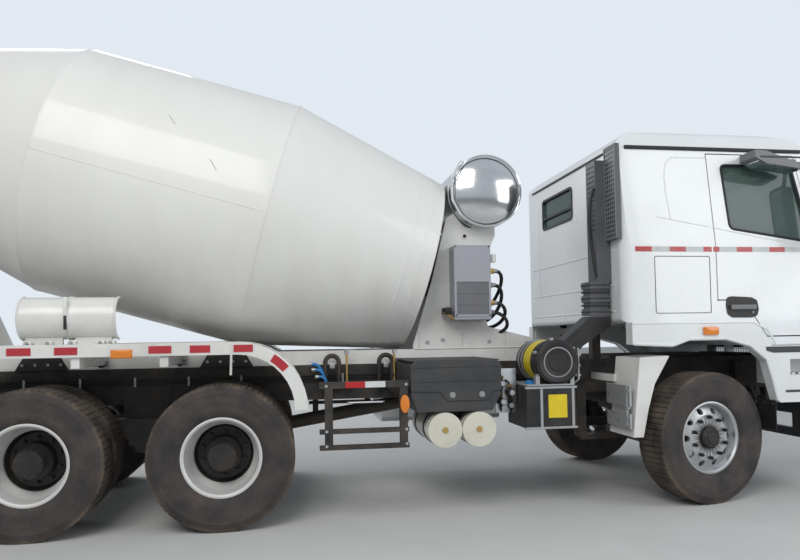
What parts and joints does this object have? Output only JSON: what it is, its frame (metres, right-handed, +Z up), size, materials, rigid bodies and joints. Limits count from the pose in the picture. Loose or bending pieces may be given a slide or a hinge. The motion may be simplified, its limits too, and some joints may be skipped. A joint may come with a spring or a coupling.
{
  "type": "concrete mixer truck",
  "caption": "Concrete mixer truck with a tilting cab over the engine, a sloping mixing drum on rollers, a water tank, a rear hopper and a swinging discharge chute.",
  "frame": {"origin": "on the ground, under the middle of the truck's length and width", "axes": "+X forward, +Y to the truck's left, +Z up"},
  "size_m": [9.2, 3.138, 3.998],
  "materials": {
    "chassis_black": "satin, dusty",
    "frame_white": "gloss, dusty",
    "cab_white": "gloss",
    "drum_cream": "gloss, dusty",
    "steel": "polished",
    "machine_grey": "satin",
    "dark_plastic": "matt",
    "lamp": "clear",
    "aluminium": "satin",
    "seat_cloth": "woven",
    "glass": "green tint",
    "wheel": "dusty rubber with bright rims",
    "blade_steel": "worn"
  },
  "bodies": {
    "chassis": {"frame": "chassis_black", "subframe": "frame_white", "bumper": "dark_plastic", "lamps": "lamp", "axles": "chassis_black", "springs": "chassis_black", "driveline": "machine_grey", "engine": "machine_grey", "fuel_tank": "aluminium", "battery_box": "dark_plastic", "air_tanks": "drum_cream", "fluid_tank": "dark_plastic", "air_cleaner": "dark_plastic", "guards": "chassis_black", "mudguards": "frame_white", "drum_drive": "machine_grey", "oil_cooler": "machine_grey", "water_tank": "steel", "hopper": "frame_white", "ladder": "frame_white", "spare_chutes": "frame_white"},
    "roller_right": {"roller_right": "machine_grey"},
    "roller_left": {"roller_left": "machine_grey"},
    "chute_arm": {"chute_arm": "frame_white"},
    "chute": {"chute": "frame_white"},
    "chute_flap": {"chute_flap": "frame_white"},
    "cab": {"cab_shell": "cab_white", "cab_roof": "cab_white", "cab_skirt": "cab_white", "cab_glass": "glass", "seats": "seat_cloth", "dashboard": "dark_plastic", "snorkel": "dark_plastic"},
    "front_flap": {"front_flap": "dark_plastic"},
    "steering_wheel": {"steering_wheel": "dark_plastic"},
    "door_right": {"door_right": "cab_white", "door_glass_right": "glass", "mirror_right": "dark_plastic"},
    "door_left": {"door_left": "cab_white", "door_glass_left": "glass", "mirror_left": "dark_plastic"},
    "drum": {"drum": "drum_cream", "drum_blades": "blade_steel"},
    "knuckle_right": {"knuckle_right": "chassis_black"},
    "knuckle_left": {"knuckle_left": "chassis_black"},
    "wheel_front_right": {"wheel_front_right": "wheel"},
    "wheel_front_left": {"wheel_front_left": "wheel"},
    "wheels_mid_right": {"wheels_mid_right": "wheel"},
    "wheels_mid_left": {"wheels_mid_left": "wheel"},
    "wheels_rear_right": {"wheels_rear_right": "wheel"},
    "wheels_rear_left": {"wheels_rear_left": "wheel"}
  },
  "joints": [
    {"name": "drum_spin", "type": "hinge", "parent": "chassis", "child": "drum", "pos_m": [0.98096, 0, 2.074], "axis": [-0.9659, 0, 0.2588], "continuous": true},
    {"name": "roller_right_spin", "type": "hinge", "parent": "chassis", "child": "roller_right", "pos_m": [-3.37988, -0.52029, 2.41304], "axis": [-0.9659, 0, 0.2588], "continuous": true},
    {"name": "roller_left_spin", "type": "hinge", "parent": "chassis", "child": "roller_left", "pos_m": [-3.37988, 0.52029, 2.41304], "axis": [-0.9659, 0, 0.2588], "continuous": true},
    {"name": "chute_swing", "type": "hinge", "parent": "chassis", "child": "chute_arm", "pos_m": [-3.65004, 0, 1.48], "axis": [0, 0, 1], "range_deg": [0, 150]},
    {"name": "chute_tilt", "type": "hinge", "parent": "chute_arm", "child": "chute", "pos_m": [-3.65004, 0, 1.6], "axis": [-0.9659, -0.2588, 0], "range_deg": [-3, 30]},
    {"name": "chute_flap_fold", "type": "hinge", "parent": "chute", "child": "chute_flap", "pos_m": [-3.90368, 0.94661, 1.862], "axis": [-0.9659, -0.2588, 0], "range_deg": [0, 180]},
    {"name": "cab_tilt", "type": "hinge", "parent": "chassis", "child": "cab", "pos_m": [4.49996, 0, 0.95], "axis": [0, 1, 0], "range_deg": [0, 50]},
    {"name": "front_flap_hinge", "type": "hinge", "parent": "cab", "child": "front_flap", "pos_m": [4.55996, 0, 1.8], "axis": [0, -1, 0], "range_deg": [0, 80]},
    {"name": "steering_wheel_turn", "type": "hinge", "parent": "cab", "child": "steering_wheel", "pos_m": [3.87996, 0.56, 2.08], "axis": [-0.6163, 0, 0.7875], "range_deg": [-864, 432]},
    {"name": "door_right_hinge", "type": "hinge", "parent": "cab", "child": "door_right", "pos_m": [4.34996, -1.136, 1.508], "axis": [0, 0, 1], "range_deg": [0, 70]},
    {"name": "door_left_hinge", "type": "hinge", "parent": "cab", "child": "door_left", "pos_m": [4.34996, 1.136, 1.508], "axis": [0, 0, -1], "range_deg": [0, 70]},
    {"name": "steer_left", "type": "hinge", "parent": "chassis", "child": "knuckle_left", "pos_m": [3.15996, 0.985, 0.54], "axis": [0, 0, 1], "range_deg": [-48, 24]},
    {"name": "steer_right", "type": "hinge", "parent": "chassis", "child": "knuckle_right", "pos_m": [3.15996, -0.985, 0.54], "axis": [0, 0, 1], "range_deg": [-48, 24]},
    {"name": "wheel_front_left_spin", "type": "hinge", "parent": "knuckle_left", "child": "wheel_front_left", "pos_m": [3.14021, 1.07792, 0.54], "axis": [-0.2079, 0.9781, 0], "continuous": true},
    {"name": "wheel_front_right_spin", "type": "hinge", "parent": "knuckle_right", "child": "wheel_front_right", "pos_m": [3.17971, -1.07792, 0.54], "axis": [-0.2079, 0.9781, 0], "continuous": true},
    {"name": "wheels_mid_left_spin", "type": "hinge", "parent": "chassis", "child": "wheels_mid_left", "pos_m": [-0.74004, 1.08, 0.54], "axis": [0, 1, 0], "continuous": true},
    {"name": "wheels_mid_right_spin", "type": "hinge", "parent": "chassis", "child": "wheels_mid_right", "pos_m": [-0.74004, -1.08, 0.54], "axis": [0, 1, 0], "continuous": true},
    {"name": "wheels_rear_left_spin", "type": "hinge", "parent": "chassis", "child": "wheels_rear_left", "pos_m": [-2.09004, 1.08, 0.54], "axis": [0, 1, 0], "continuous": true},
    {"name": "wheels_rear_right_spin", "type": "hinge", "parent": "chassis", "child": "wheels_rear_right", "pos_m": [-2.09004, -1.08, 0.54], "axis": [0, 1, 0], "continuous": true}
  ],
  "couplings": [
    {"joint": "roller_right_spin", "follows": "drum_spin", "ratio": -6.3462},
    {"joint": "roller_left_spin", "follows": "drum_spin", "ratio": -6.3462},
    {"joint": "steer_right", "follows": "steer_left", "ratio": 1},
    {"joint": "steering_wheel_turn", "follows": "steer_left", "ratio": 18}
  ]
}
